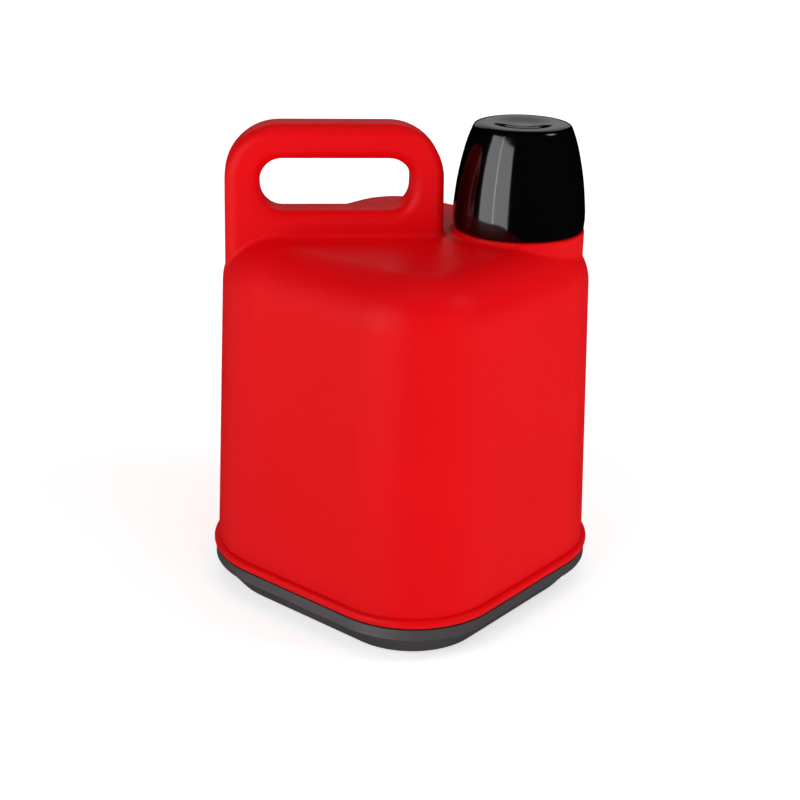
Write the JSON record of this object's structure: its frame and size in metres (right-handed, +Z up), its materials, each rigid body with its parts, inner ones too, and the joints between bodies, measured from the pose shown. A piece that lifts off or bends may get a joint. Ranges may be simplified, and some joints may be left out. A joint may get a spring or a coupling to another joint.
{
  "type": "insulated jug",
  "caption": "Red square-bodied insulated jug with a built-in loop handle, a corner neck, a push-button stopper and a black drinking cup over it.",
  "frame": {"origin": "on the floor, in the middle of the base", "axes": "+Z up; the handle and the neck stand along X with the neck on the +X side; one rounded corner of the square body points to -Y, the front"},
  "size_m": [0.2582, 0.2666, 0.313],
  "materials": {
    "red_shell": "satin moulded polyethylene",
    "grey_base": "fine-grained satin",
    "black_rubber": "matte",
    "cream_foam": "rigid foam",
    "white_tank": "satin, food grade",
    "black_moulding": "satin",
    "black_gloss": "gloss",
    "clear_silicone": "translucent, smooth",
    "spring_steel": "drawn wire",
    "red_button": "satin gloss"
  },
  "bodies": {
    "jug": {"outer_shell": "red_shell", "base_cover": "grey_base", "base_pads": "black_rubber", "foam_fill_plug": "grey_base", "foam_insulation": "cream_foam", "inner_tank": "white_tank", "tank_top": "white_tank", "neck_gasket": "black_rubber", "neck_ring": "black_moulding"},
    "seal_ring": {"stopper_seal": "clear_silicone"},
    "stopper": {"stopper_body": "black_moulding", "stopper_core": "cream_foam", "core_cap": "black_moulding", "stopper_cover": "black_moulding", "stem_seal": "clear_silicone", "spring_seat": "spring_steel", "button_spring": "spring_steel"},
    "button": {"pour_button": "red_button", "valve_stem": "white_tank", "valve_plate": "white_tank", "valve_seal": "clear_silicone", "stem_clip": "spring_steel"},
    "cup": {"drinking_cup": "black_gloss"}
  },
  "joints": [
    {"name": "stopper_lift", "type": "slide", "parent": "jug", "child": "seal_ring", "axis": [0, 0, 1], "range_m": [0, 0.105]},
    {"name": "stopper_turn", "type": "hinge", "parent": "seal_ring", "child": "stopper", "pos_m": [0.0718, 0, 0.259], "axis": [0, 0, 1], "range_deg": [0, 540]},
    {"name": "button_press", "type": "slide", "parent": "stopper", "child": "button", "axis": [0, 0, -1], "range_m": [0, 0.004], "stiffness_N_per_m": 500, "springref_m": -0.002, "deforming": ["button_spring"]},
    {"name": "cup_lift", "type": "slide", "parent": "seal_ring", "child": "cup", "axis": [0, 0, 1], "range_m": [0, 0.08]}
  ]
}
